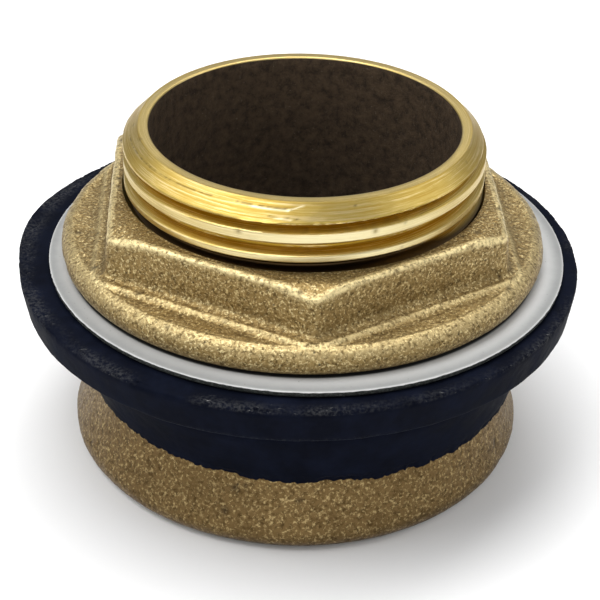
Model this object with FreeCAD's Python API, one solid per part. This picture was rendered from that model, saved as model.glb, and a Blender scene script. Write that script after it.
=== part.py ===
# Expanding through-wall fitting with a 1-1/4 inch pipe thread: a brass body whose cone foot spreads a stepped
# rubber seal, a flanged hexagon nut, and a plastic washer that lets the nut turn on the rubber.
# Millimetres. +Z runs along the axis towards the threaded end, and the origin is the centre of the foot's
# bottom face. Heights are measured from there, and the nut is run down until it just bears on the washer.
import FreeCAD, Part
import math
import os

# Pipe thread, 1-1/4 inch: 11 turns to the inch, 55 degrees between the flanks, right-handed
THREAD_PITCH = 2.309
THREAD_MAJOR_D = 41.91
THREAD_DEPTH_PER_PITCH = 0.640327
THREAD_FLAT_PER_PITCH = 1 / 6   # width of the crests and of the roots
THREAD_FLANK_DEG = 27.5
THREAD_CREST_HEIGHT = 37.83     # height of one crest of the body's thread on the +X side
THREAD_RADIAL_GAP = 0.15        # nut's crests and roots to the body's
THREAD_AXIAL_GAP = 0.15         # each flank of the nut to the body's

# The hole in the wall that the fitting goes through
WALL_HOLE_D = 57.0
FOOT_HOLE_GAP = 0.9             # on the radius
COLLAR_HOLE_GAP = 0.5           # on the radius

# Body
TOTAL_HEIGHT = 41.0
LEAD_CHAMFER = 1.8              # at the top of the barrel
BARREL_WALL = 1.3               # under the thread relief, where the barrel is thinnest
BELL_HEIGHT = 14.0              # where the bore starts to widen towards the foot
BELL_BLEND = 8.0
BELL_EDGE_ROUND = 0.8
FOOT_WALL = 5.1                 # from the foot's largest radius in to the bell's mouth
FOOT_EDGE_ROUND = 2.2
CONE_TOP_HEIGHT = 17.0
CONE_TOP_STEP = 1.4             # cone's top radius beyond the thread's crests
CONE_TOP_ROUND = 0.5
SHOULDER_RISE = 1.6             # the shoulder slopes up by this from the cone to the thread relief
RELIEF_DEPTH = 0.2              # of the thread relief, below the thread's roots
RELIEF_WIDTH = 2.6

# Rubber seal
SEAL_FLANGE_OVERHANG = 5.4      # of the flange's top beyond the collar
SEAL_FLANGE_TAPER = 0.7         # by which its underside is smaller in radius
SEAL_FLANGE_HEIGHT = 19.7       # underside of the flange, which lies on the wall
SEAL_FLANGE_THICK = 4.2
SEAL_EDGE_ROUND = 0.25
COLLAR_STRAIGHT = 4.0           # length of the collar that keeps its full diameter
COLLAR_ROOT_ROUND = 0.4
LIP_HEIGHT = 9.0                # lower edge of the collar
LIP_THICK = 0.6
SEAL_CONE_GAP = 0.3
SEAL_BARREL_GAP = 0.4

# Nut
HEX_WALL = 1.445                # from the thread's crests to the middle of a flat, at the top face
HEX_HEIGHT = 5.4
HEX_DRAFT_DEG = 3.0
HEX_TURN_DEG = 3.2              # the hexagon's corner nearest -Y is turned this far towards +X
HEX_CORNER_ROUND = 1.5
HEX_TOP_ROUND = 0.6
HEX_FOOT_ROUND = 0.8
NUT_FLANGE_MARGIN = 2.64        # beyond the hexagon's sharp corners, at the top face
NUT_FLANGE_THICK = 3.5
NUT_FLANGE_TOP_ROUND = 1.7
NUT_FLANGE_BOTTOM_ROUND = 1.5
NUT_MOUTH_GAP = 0.45            # the countersinks at the nut's two mouths to the body's thread

# Washer
WASHER_MARGIN = 2.1             # beyond the nut's flange
WASHER_THICK = 0.8
WASHER_BARREL_GAP = 0.8
WASHER_SHIFT = 0.5              # a loose washer lies this far off the axis, towards +X
WASHER_EDGE_ROUND = 0.12

CUT_OVERRUN = 1.0               # how far a cutting tool reaches past the surface it cuts
THREAD_TOOL_OVERRUN = 0.2       # the same for the thread tools, whose turns must not touch each other

# Values that follow from the ones above
MAJOR_R = THREAD_MAJOR_D / 2
MINOR_R = MAJOR_R - THREAD_PITCH * THREAD_DEPTH_PER_PITCH
FLANK_SLOPE = math.tan(math.radians(THREAD_FLANK_DEG))
HALF_FLAT = THREAD_PITCH * THREAD_FLAT_PER_PITCH / 2
RELIEF_R = MINOR_R - RELIEF_DEPTH
RELIEF_BOTTOM = CONE_TOP_HEIGHT + SHOULDER_RISE
RELIEF_TOP = RELIEF_BOTTOM + RELIEF_WIDTH
BORE_R = RELIEF_R - BARREL_WALL
FOOT_R = WALL_HOLE_D / 2 - FOOT_HOLE_GAP
CONE_TOP_R = MAJOR_R + CONE_TOP_STEP
COLLAR_R = WALL_HOLE_D / 2 - COLLAR_HOLE_GAP
SEAL_TOP = SEAL_FLANGE_HEIGHT + SEAL_FLANGE_THICK
WASHER_TOP = SEAL_TOP + WASHER_THICK
NUT_FLANGE_TOP = WASHER_TOP + NUT_FLANGE_THICK
NUT_TOP = NUT_FLANGE_TOP + HEX_HEIGHT
HEX_ACROSS_FLATS = THREAD_MAJOR_D + 2 * HEX_WALL
NUT_FLANGE_R = HEX_ACROSS_FLATS / math.sqrt(3) + NUT_FLANGE_MARGIN
WASHER_R = NUT_FLANGE_R + WASHER_MARGIN


def cone_half_angle():
    """Angle between the axis and the cone, which runs from its top edge to the rounding of the foot's edge."""
    across = FOOT_R - FOOT_EDGE_ROUND - CONE_TOP_R
    down = CONE_TOP_HEIGHT - FOOT_EDGE_ROUND
    return math.atan2(across, down) + math.asin(FOOT_EDGE_ROUND / math.hypot(across, down))


CONE_ANGLE = cone_half_angle()


def cone_radius(height):
    """Radius of the body's cone at a height, or of its line where it is continued."""
    return CONE_TOP_R + (CONE_TOP_HEIGHT - height) * math.tan(CONE_ANGLE)


def revolved(corners):
    """Solid of revolution about Z from corners (radius, height, rounding), each corner rounded by a tangent arc."""
    points = [FreeCAD.Vector(radius, 0, height) for radius, height, rounding in corners]
    count = len(corners)
    starts = []
    arcs = []
    ends = []
    for index in range(count):
        corner = points[index]
        rounding = corners[index][2]
        if rounding == 0:
            starts.append(corner)
            arcs.append(None)
            ends.append(corner)
            continue
        back = (points[index - 1] - corner).normalize()
        ahead = (points[(index + 1) % count] - corner).normalize()
        half_angle = back.getAngle(ahead) / 2
        reach = rounding / math.tan(half_angle)
        inward = (back + ahead).normalize()
        middle = corner + inward * (rounding / math.sin(half_angle) - rounding)
        starts.append(corner + back * reach)
        ends.append(corner + ahead * reach)
        arcs.append(Part.Arc(starts[-1], middle, ends[-1]))
    edges = []
    for index in range(count):
        if arcs[index] is not None:
            edges.append(arcs[index].toShape())
        following = starts[(index + 1) % count]
        edges.append(Part.LineSegment(ends[index], following).toShape())
    face = Part.Face(Part.Wire(edges))
    return face.revolve(FreeCAD.Vector(0, 0, 0), FreeCAD.Vector(0, 0, 1), 360)


def helical_cutter(outline, start_height, turns, height_on_x):
    """Right-handed helical tool: the outline (radius, height offset) swept up, on a helix that crosses the
    +X side at height_on_x, or a whole number of pitches from it. Each side of the outline gives one ruled face
    a turn between two helical edges, and a flat face closes each end."""
    sides = range(len(outline))
    faces = []
    for turn in range(turns):
        rails = []
        for radius, offset in outline:
            rail = Part.makeHelix(THREAD_PITCH, THREAD_PITCH, radius).Edges[0]
            rail.translate(FreeCAD.Vector(0, 0, offset + turn * THREAD_PITCH))
            rails.append(rail)
        for side in sides:
            faces.append(Part.makeRuledSurface(rails[side - 1], rails[side]))
    for height in (0, turns * THREAD_PITCH):
        corners = [FreeCAD.Vector(radius, 0, height + offset) for radius, offset in outline]
        faces.append(Part.Face(Part.makePolygon(corners + [corners[0]])))
    shell = Part.makeShell(faces)
    shell.sewShape()
    cutter = Part.makeSolid(shell)
    if cutter.Volume < 0:
        cutter.reverse()
    turned = (start_height - height_on_x) / THREAD_PITCH * 360
    cutter.rotate(FreeCAD.Vector(0, 0, 0), FreeCAD.Vector(0, 0, 1), turned)
    cutter.translate(FreeCAD.Vector(0, 0, start_height))
    return cutter


def body_thread_cutter():
    """The space between the turns of the body's thread, from inside the relief groove to above the rim."""
    half_mouth = HALF_FLAT + (MAJOR_R - MINOR_R) * FLANK_SLOPE
    half_outside = half_mouth + THREAD_TOOL_OVERRUN * FLANK_SLOPE
    outline = [
        (MINOR_R, -HALF_FLAT),
        (MAJOR_R + THREAD_TOOL_OVERRUN, -half_outside),
        (MAJOR_R + THREAD_TOOL_OVERRUN, half_outside),
        (MINOR_R, HALF_FLAT),
    ]
    start = RELIEF_TOP - half_mouth
    turns = math.ceil((TOTAL_HEIGHT + THREAD_PITCH - start) / THREAD_PITCH)
    return helical_cutter(outline, start, turns, THREAD_CREST_HEIGHT - THREAD_PITCH / 2)


def nut_thread_cutter():
    """The room that the body's thread needs in the nut: its ridge, grown by the two thread gaps."""
    hole_r = MINOR_R + THREAD_RADIAL_GAP
    root_r = MAJOR_R + THREAD_RADIAL_GAP
    half_crest = HALF_FLAT + THREAD_AXIAL_GAP
    half_tip = half_crest - THREAD_RADIAL_GAP * FLANK_SLOPE
    inside_r = hole_r - THREAD_TOOL_OVERRUN
    half_inside = half_crest + (MAJOR_R - inside_r) * FLANK_SLOPE
    outline = [
        (inside_r, -half_inside),
        (root_r, -half_tip),
        (root_r, half_tip),
        (inside_r, half_inside),
    ]
    start = WASHER_TOP - THREAD_PITCH
    turns = math.ceil((NUT_TOP + THREAD_PITCH - start) / THREAD_PITCH)
    return helical_cutter(outline, start, turns, THREAD_CREST_HEIGHT)


def barrel_body():
    """Threaded barrel, thread relief, sloping shoulder and cone foot round one through bore."""
    blank = revolved([
        (BORE_R, TOTAL_HEIGHT, 0),
        (MAJOR_R - LEAD_CHAMFER, TOTAL_HEIGHT, 0),
        (MAJOR_R, TOTAL_HEIGHT - LEAD_CHAMFER, 0),
        (MAJOR_R, RELIEF_TOP + (MAJOR_R - RELIEF_R), 0),
        (RELIEF_R, RELIEF_TOP, 0),
        (RELIEF_R, RELIEF_BOTTOM, 0),
        (CONE_TOP_R, CONE_TOP_HEIGHT, CONE_TOP_ROUND),
        (cone_radius(0), 0, FOOT_EDGE_ROUND),
        (FOOT_R - FOOT_WALL, 0, BELL_EDGE_ROUND),
        (BORE_R, BELL_HEIGHT, BELL_BLEND),
    ])
    return blank.cut(body_thread_cutter())


def hexagon(across_flats, height):
    """Closed outline of the nut's hexagon at a height."""
    corner_r = across_flats / math.sqrt(3)
    corners = []
    for side in range(7):
        angle = math.radians(HEX_TURN_DEG - 90 + 60 * side)
        corners.append(FreeCAD.Vector(corner_r * math.cos(angle), corner_r * math.sin(angle), height))
    return Part.makePolygon(corners)


def hexagon_block():
    """The nut's hexagon with its casting draft, its upright corners and top edges rounded."""
    sunk = NUT_FLANGE_THICK / 2
    widening = 2 * (HEX_HEIGHT + sunk) * math.tan(math.radians(HEX_DRAFT_DEG))
    lower = hexagon(HEX_ACROSS_FLATS + widening, NUT_FLANGE_TOP - sunk)
    upper = hexagon(HEX_ACROSS_FLATS, NUT_TOP)
    block = Part.makeLoft([lower, upper], True, True)
    upright = [edge for edge in block.Edges if edge.BoundBox.ZLength > HEX_HEIGHT]
    block = block.makeFillet(HEX_CORNER_ROUND, upright)
    top = [edge for edge in block.Edges if edge.BoundBox.ZMin > NUT_TOP - 0.001]
    return block.makeFillet(HEX_TOP_ROUND, top)


def hex_nut():
    """Round flange, hexagon and internal thread, countersunk at both mouths."""
    flange = revolved([
        (BORE_R, WASHER_TOP, 0),
        (NUT_FLANGE_R, WASHER_TOP, NUT_FLANGE_BOTTOM_ROUND),
        (NUT_FLANGE_R, NUT_FLANGE_TOP, NUT_FLANGE_TOP_ROUND),
        (BORE_R, NUT_FLANGE_TOP, 0),
    ])
    nut = flange.fuse(hexagon_block())
    foot = []
    for edge in nut.Edges:
        box = edge.BoundBox
        on_flange_top = abs(box.ZMin - NUT_FLANGE_TOP) < 0.001 and abs(box.ZMax - NUT_FLANGE_TOP) < 0.001
        middle = edge.valueAt((edge.FirstParameter + edge.LastParameter) / 2)
        reach = math.hypot(middle.x, middle.y)
        if on_flange_top and HEX_ACROSS_FLATS / 2 < reach < NUT_FLANGE_R - NUT_FLANGE_TOP_ROUND - 0.001:
            foot.append(edge)
    nut = nut.makeFillet(HEX_FOOT_ROUND, foot)
    hole_r = MINOR_R + THREAD_RADIAL_GAP
    mouth_r = MAJOR_R + NUT_MOUTH_GAP
    sink = mouth_r - hole_r
    hole = revolved([
        (0, WASHER_TOP - CUT_OVERRUN, 0),
        (mouth_r, WASHER_TOP - CUT_OVERRUN, 0),
        (mouth_r, WASHER_TOP, 0),
        (hole_r, WASHER_TOP + sink, 0),
        (hole_r, NUT_TOP - sink, 0),
        (mouth_r, NUT_TOP, 0),
        (mouth_r, NUT_TOP + CUT_OVERRUN, 0),
        (0, NUT_TOP + CUT_OVERRUN, 0),
    ])
    return nut.cut(hole).cut(nut_thread_cutter())


def friction_washer():
    """Thin flat ring, loose on the barrel and lying a little off centre."""
    inner_r = MAJOR_R + WASHER_BARREL_GAP
    ring = revolved([
        (inner_r, SEAL_TOP, WASHER_EDGE_ROUND),
        (WASHER_R, SEAL_TOP, WASHER_EDGE_ROUND),
        (WASHER_R, WASHER_TOP, WASHER_EDGE_ROUND),
        (inner_r, WASHER_TOP, WASHER_EDGE_ROUND),
    ])
    ring.translate(FreeCAD.Vector(WASHER_SHIFT, 0, 0))
    return ring


def rubber_seal():
    """Wide flange above, narrower collar below, hollow to suit the barrel, its shoulder and the cone."""
    inner_r = MAJOR_R + SEAL_BARREL_GAP
    flange_r = COLLAR_R + SEAL_FLANGE_OVERHANG
    cone_gap = SEAL_CONE_GAP / math.cos(CONE_ANGLE)
    lip_r = cone_radius(LIP_HEIGHT) + cone_gap
    seat_height = CONE_TOP_HEIGHT + SEAL_CONE_GAP
    seat_r = cone_radius(seat_height) + cone_gap
    return revolved([
        (inner_r, SEAL_TOP, SEAL_EDGE_ROUND),
        (flange_r, SEAL_TOP, SEAL_EDGE_ROUND),
        (flange_r - SEAL_FLANGE_TAPER, SEAL_FLANGE_HEIGHT, SEAL_EDGE_ROUND),
        (COLLAR_R, SEAL_FLANGE_HEIGHT, COLLAR_ROOT_ROUND),
        (COLLAR_R, SEAL_FLANGE_HEIGHT - COLLAR_STRAIGHT, 0),
        (lip_r + LIP_THICK, LIP_HEIGHT, 0),
        (lip_r, LIP_HEIGHT, 0),
        (seat_r, seat_height, 0),
        (inner_r, seat_height + seat_r - inner_r, 0),
    ])


os.makedirs("parts", exist_ok=True)
for build in (barrel_body, hex_nut, friction_washer, rubber_seal):
    solid = build()
    box = solid.BoundBox
    print(build.__name__, solid.isValid(), len(solid.Solids), "volume", round(solid.Volume, 2),
          "size", round(box.XLength, 2), round(box.YLength, 2), round(box.ZLength, 2))
    solid.exportStep("parts/" + build.__name__ + ".step")
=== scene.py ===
"""Looks for the expanding through-wall fitting: its brass body, nut, plastic washer and rubber seal, and a
studio round them. In metres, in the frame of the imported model, with +Z up the barrel."""
import math
import random

import bpy
import numpy as np
from mathutils import Matrix, Vector, noise


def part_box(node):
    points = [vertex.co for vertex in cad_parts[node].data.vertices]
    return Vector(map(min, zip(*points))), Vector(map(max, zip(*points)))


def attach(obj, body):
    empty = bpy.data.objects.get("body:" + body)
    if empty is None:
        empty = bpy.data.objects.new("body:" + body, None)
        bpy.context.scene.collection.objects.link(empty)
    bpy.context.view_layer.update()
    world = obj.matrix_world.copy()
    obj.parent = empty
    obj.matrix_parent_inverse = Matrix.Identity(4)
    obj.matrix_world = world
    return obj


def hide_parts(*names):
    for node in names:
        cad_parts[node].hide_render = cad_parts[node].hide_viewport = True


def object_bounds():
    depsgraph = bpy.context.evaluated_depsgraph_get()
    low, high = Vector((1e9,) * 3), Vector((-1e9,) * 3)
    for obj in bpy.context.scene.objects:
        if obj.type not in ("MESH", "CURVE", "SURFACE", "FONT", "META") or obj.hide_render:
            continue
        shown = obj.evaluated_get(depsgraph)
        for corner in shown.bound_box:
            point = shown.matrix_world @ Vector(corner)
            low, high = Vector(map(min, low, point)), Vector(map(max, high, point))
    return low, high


bl_info = {
    "name": "Expanding Wall Fitting",
    "version": (1, 0, 0),
    "blender": (4, 5, 0),
    "location": "3D View > Sidebar > Wall Fitting",
    "description": "Builds a brass through-wall fitting with its nut, washer and seal, and a studio round it",
    "category": "Add Mesh",
}

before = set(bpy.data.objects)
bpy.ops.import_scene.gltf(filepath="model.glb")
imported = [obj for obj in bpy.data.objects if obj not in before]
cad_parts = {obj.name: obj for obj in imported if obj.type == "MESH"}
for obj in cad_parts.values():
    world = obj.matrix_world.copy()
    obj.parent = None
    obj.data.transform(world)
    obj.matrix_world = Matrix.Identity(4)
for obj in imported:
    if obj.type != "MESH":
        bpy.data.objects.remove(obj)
CAD_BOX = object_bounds()
BODY_LOW, BODY_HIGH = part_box("barrel_body")
NUT_LOW, NUT_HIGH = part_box("hex_nut")
WASHER_LOW, WASHER_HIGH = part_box("friction_washer")
SEAL_LOW, SEAL_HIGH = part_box("rubber_seal")

FLANGE_RADIUS = (NUT_HIGH.x - NUT_LOW.x) / 2
WASHER_RADIUS = (WASHER_HIGH.x - WASHER_LOW.x) / 2

MM = 0.001
FLOOR_GAP = 0.02 * MM            # the floor lies this far under the foot, so that the two never flicker

THREAD_FLANK = math.radians(27.5)
THREAD_CREST = 0.28              # width of the worn crests, as a share of the pitch
THREAD_ROOT = 0.137329           # rounding of the roots, as a share of the pitch
RUN_OUT = 0.17                   # by which the crests widen for each unit of height, towards the rim
RUN_OUT_START = 1.4 * MM         # height over the nut where they start to widen

# Where this one piece differs from its neighbours off the same line. Directions are angles about the axis.
CAST_SHIFT = -0.4 * MM           # the cast foot lies this far off the turned barrel's axis, along X
LUMP_DIRECTION = math.radians(-16)
LUMP_HEIGHT = 8.0 * MM           # a small casting lump on the foot, just below the rubber
WORN_AND_HIGHLIGHT_SIDE = math.radians(278)    # where the barrel's crests are torn, and where the painted highlight on them is strongest
CREST_HIGHLIGHT_SPREAD = math.radians(34)
SHADE_LINE_SIDE = math.radians(282)    # where the painted shade line round the barrel stands highest over the nut
SHADE_LINE_SPREAD = math.radians(24)
SEAL_BULGE = math.radians(168)   # where the rubber's flange is out of round
SEAL_BULGE_SPREAD = math.radians(14)
SEAL_DROOP = math.radians(-20)   # where the collar's lip hangs lowest

# Marks on the barrel: from and to, each an angle in degrees and a height in millimetres, and a width.
DARK_SCRATCHES = (((-172, 40.08), (-110, 40.48), 0.06), ((-111, 40.48), (-93, 40.38), 0.08),
                  ((-100, 39.74), (-91, 39.64), 0.06), ((-74, 40.5), (-73, 40.9), 0.08))
PALE_SCRATCHES = (((-106, 40.33), (-94, 40.27), 0.07), ((-94.5, 40.3), (-89.5, 40.72), 0.05),
                  ((-98, 39.62), (-93, 39.56), 0.05))


# ---------------------------------------------------------------- curves and grids

def smooth_step(low, high, value):
    """0 below low, 1 above high, and an even S between them. low may be the larger one."""
    share = np.clip((value - low) / (high - low), 0, 1)
    return share * share * (3 - 2 * share)


def grain(points, size, seed):
    """A smooth random value, about -1 to 1, at each point, for lumps about size across."""
    spots = (points / size + seed * 7.31).reshape(-1, 3).tolist()
    values = np.array([noise.noise(spot) for spot in spots])
    return values.reshape(points.shape[:-1])


def bell(off, width):
    """1 where off is 0, falling away evenly on both sides of it."""
    return np.exp(-(off / width) ** 2)


def round_bell(across, up, width):
    """1 at a corner of an outline, falling away evenly all round it."""
    return np.exp(-(across ** 2 + up ** 2) / width ** 2)


def turn_from(angles, direction):
    """How far each angle is turned from a direction, at most half a turn either way."""
    return np.mod(angles - direction + math.pi, 2 * math.pi) - math.pi


def outline(corners):
    """Points round a closed outline, counter-clockwise. A corner is (radius, height, rounding, spacing): its
    rounding is an arc, and the points of the straight stretch after it are spacing apart."""
    count = len(corners)
    arcs = []
    for index, (radius, height, rounding, _) in enumerate(corners):
        corner = np.array((radius, height))
        if rounding == 0:
            arcs.append([corner])
            continue
        back = np.array(corners[index - 1][:2]) - corner
        ahead = np.array(corners[(index + 1) % count][:2]) - corner
        back /= np.linalg.norm(back)
        ahead /= np.linalg.norm(ahead)
        half = math.acos(np.clip(back @ ahead, -1, 1)) / 2
        inward = (back + ahead) / np.linalg.norm(back + ahead)
        centre = corner + inward * rounding / math.sin(half)
        start = corner + back * rounding / math.tan(half) - centre
        end = corner + ahead * rounding / math.tan(half) - centre
        turn = math.pi - 2 * half
        parts = max(3, math.ceil(turn / math.radians(11)))
        arc = []
        for part in range(parts + 1):
            share = part / parts
            first = math.sin((1 - share) * turn) / math.sin(turn)
            last = math.sin(share * turn) / math.sin(turn)
            arc.append(centre + start * first + end * last)
        arcs.append(arc)
    points = []
    for index, arc in enumerate(arcs):
        points.extend(arc)
        following = arcs[(index + 1) % count][0]
        length = np.linalg.norm(following - arc[-1])
        parts = max(1, round(length / corners[index][3]))
        for part in range(1, parts):
            points.append(arc[-1] + (following - arc[-1]) * part / parts)
    return np.array(points)


def around(columns):
    """Angles of the columns of a grid that goes once round the axis."""
    return np.linspace(0, 2 * math.pi, columns, endpoint=False)


def about_axis(radius, angles, height):
    """Points at these radii, angles and heights about the axis."""
    return np.stack([radius * np.cos(angles), radius * np.sin(angles), height], axis=-1)


def places(angles, radius, height):
    """Points of a grid, columns by rows, from its angles, radii and heights."""
    return about_axis(radius, angles[:, None], height)


def wrap(rows, columns):
    """Angles of the columns of a round grid, and its radii and heights, which all columns take from rows."""
    return around(columns), np.tile(rows[:, 0], (columns, 1)), np.tile(rows[:, 1], (columns, 1))


def swell(radius, height, amount):
    """Moves the points of a grid outwards by amount, square to its rows."""
    across = np.roll(radius, -1, axis=1) - np.roll(radius, 1, axis=1)
    up = np.roll(height, -1, axis=1) - np.roll(height, 1, axis=1)
    length = np.maximum(np.hypot(across, up), 1e-9)
    return radius + amount * up / length, height - amount * across / length


def grid_faces(columns, rows):
    """Four-sided faces of a grid that closes on itself both ways."""
    column, row = np.meshgrid(np.arange(columns), np.arange(rows), indexing="ij")
    column_after = (column + 1) % columns
    row_after = (row + 1) % rows
    faces = [column * rows + row, column_after * rows + row,
             column_after * rows + row_after, column * rows + row_after]
    return np.stack(faces, axis=-1).reshape(-1, 4).tolist()


def band(upper, lower):
    """Four-sided faces between two rings, from the numbers of the points in each."""
    return np.stack([upper, np.roll(upper, -1), np.roll(lower, -1), lower], axis=-1).tolist()


def new_piece(name, points, faces, materials, sharp_angle, soil_and_shade=None, edge=None, face_material=None):
    """A shaded mesh object, with the marks that its materials read: soil_and_shade darkens, for dirt and for
    painted shade, and edge brightens, for wear, scratches and painted highlights.
    """
    mesh = bpy.data.meshes.new(name)
    mesh.from_pydata(points.reshape(-1, 3).tolist(), [], faces)
    for material in materials:
        mesh.materials.append(material)
    for title, values in (("soil_and_shade", soil_and_shade), ("edge", edge)):
        if values is not None:
            mark = mesh.attributes.new(title, "FLOAT", "POINT")
            mark.data.foreach_set("value", np.clip(values, 0, 1).astype(np.float32).ravel())
    if face_material is not None:
        mesh.polygons.foreach_set("material_index", face_material)
    mesh.shade_smooth()
    mesh.set_sharp_from_angle(angle=sharp_angle)
    mesh.validate()
    piece = bpy.data.objects.new(name, mesh)
    bpy.context.scene.collection.objects.link(piece)
    return piece


def settle(piece, body, node):
    """Puts a piece on its body, in the place of its CAD node."""
    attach(piece, body)
    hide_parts(node)


def dimples(points, seed, count, low, high, allowed):
    """Small round hollows at chosen points of a grid: how deep and how soiled each point is, 0 to 1."""
    chooser = random.Random(seed)
    flat = points.reshape(-1, 3)
    open_points = np.flatnonzero(allowed.ravel())
    depth = np.zeros(len(flat))
    for _ in range(count):
        centre = flat[open_points[chooser.randrange(len(open_points))]]
        size = chooser.uniform(low, high)
        away = np.linalg.norm(flat - centre, axis=1) / size
        depth = np.maximum(depth, size / high * np.exp(-away ** 2 * 1.4) * (away < 2))
    return depth.reshape(allowed.shape)


# ---------------------------------------------------------------- thread

def thread_radius(barrel, height, angles, fade_from=None):
    """Radius of the barrel's 55-degree thread, which has flat crests and round roots, at a height and angle.
    Crests above fade_from widen upwards, as the cut runs out there."""
    pitch = barrel.pitch
    major = barrel.major_radius
    climb = barrel.crest_height + pitch * angles / (2 * math.pi)
    past = np.mod(height - climb, pitch)
    if fade_from is None:
        widening = 0
    else:
        widening = np.clip((height - past - fade_from) * RUN_OUT, 0, 0.25 * pitch)
    off = np.minimum(np.maximum(past - widening, 0), pitch - past)
    left = pitch / 2 - off
    half_crest = THREAD_CREST * pitch / 2
    rounding = THREAD_ROOT * pitch
    half_root = rounding * math.cos(THREAD_FLANK)
    root_rise = rounding * (1 - math.sin(THREAD_FLANK))
    flank_width = pitch / 2 - half_crest - half_root
    minor = major - flank_width / math.tan(THREAD_FLANK) - root_rise
    root = minor + rounding - np.sqrt(np.maximum(rounding ** 2 - left ** 2, 0))
    flank = major - (off - half_crest) / math.tan(THREAD_FLANK)
    return np.where(off < half_crest, major, np.where(left < half_root, root, flank))


def climbing_columns(columns, rows_per_pitch, pitch, crest, low, high):
    """Heights of each column's points between low and high, on rows that climb with the thread, and the
    number of each column's first row. crest is the height of the middle of a crest at angle 0."""
    step = pitch / rows_per_pitch
    heights = []
    first_rows = []
    for column in range(columns):
        start = crest + pitch * column / columns
        first = math.ceil((low - start) / step + 0.4)
        last = math.floor((high - start) / step - 0.4)
        heights.append([low] + [start + row * step for row in range(first, last + 1)] + [high])
        first_rows.append(first)
    return heights, first_rows


def climbing_faces(heights, first_rows, rows_per_pitch):
    """Faces that join the columns of climbing_columns, and each column's lowest and highest point."""
    columns = len(heights)
    starts = np.concatenate([[0], np.cumsum([len(column) for column in heights])])
    faces = []
    for column in range(columns):
        after = (column + 1) % columns
        shift = rows_per_pitch if after == 0 else 0
        here, there = int(starts[column]), int(starts[after])
        first_here, first_there = first_rows[column], first_rows[after] - shift
        last_here = first_here + len(heights[column]) - 3
        last_there = first_there + len(heights[after]) - 3
        lowest, highest = max(first_here, first_there), min(last_here, last_there)

        def point_here(row):
            return here + 1 + row - first_here

        def point_there(row):
            return there + 1 + row - first_there

        faces.append([here, there] + [point_there(row) for row in range(first_there, lowest + 1)]
                     + [point_here(row) for row in range(lowest, first_here - 1, -1)])
        for row in range(lowest, highest):
            faces.append([point_here(row), point_there(row), point_there(row + 1), point_here(row + 1)])
        faces.append([point_here(row) for row in range(highest, last_here + 1)]
                     + [here + len(heights[column]) - 1, there + len(heights[after]) - 1]
                     + [point_there(row) for row in range(last_there, highest - 1, -1)])
    return faces, starts[:-1], starts[1:] - 1


def thread_grid(barrel, columns, rows_per_pitch, low, high):
    """Angles, heights and faces of a grid that climbs with the thread, and each column's lowest and highest
    point."""
    crest = barrel.crest_height
    heights, first_rows = climbing_columns(columns, rows_per_pitch, barrel.pitch, crest, low, high)
    faces, lowest, highest = climbing_faces(heights, first_rows, rows_per_pitch)
    angles = np.repeat(around(columns), [len(column) for column in heights])
    return angles, np.concatenate(heights), faces, lowest, highest


# ---------------------------------------------------------------- materials

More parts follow.
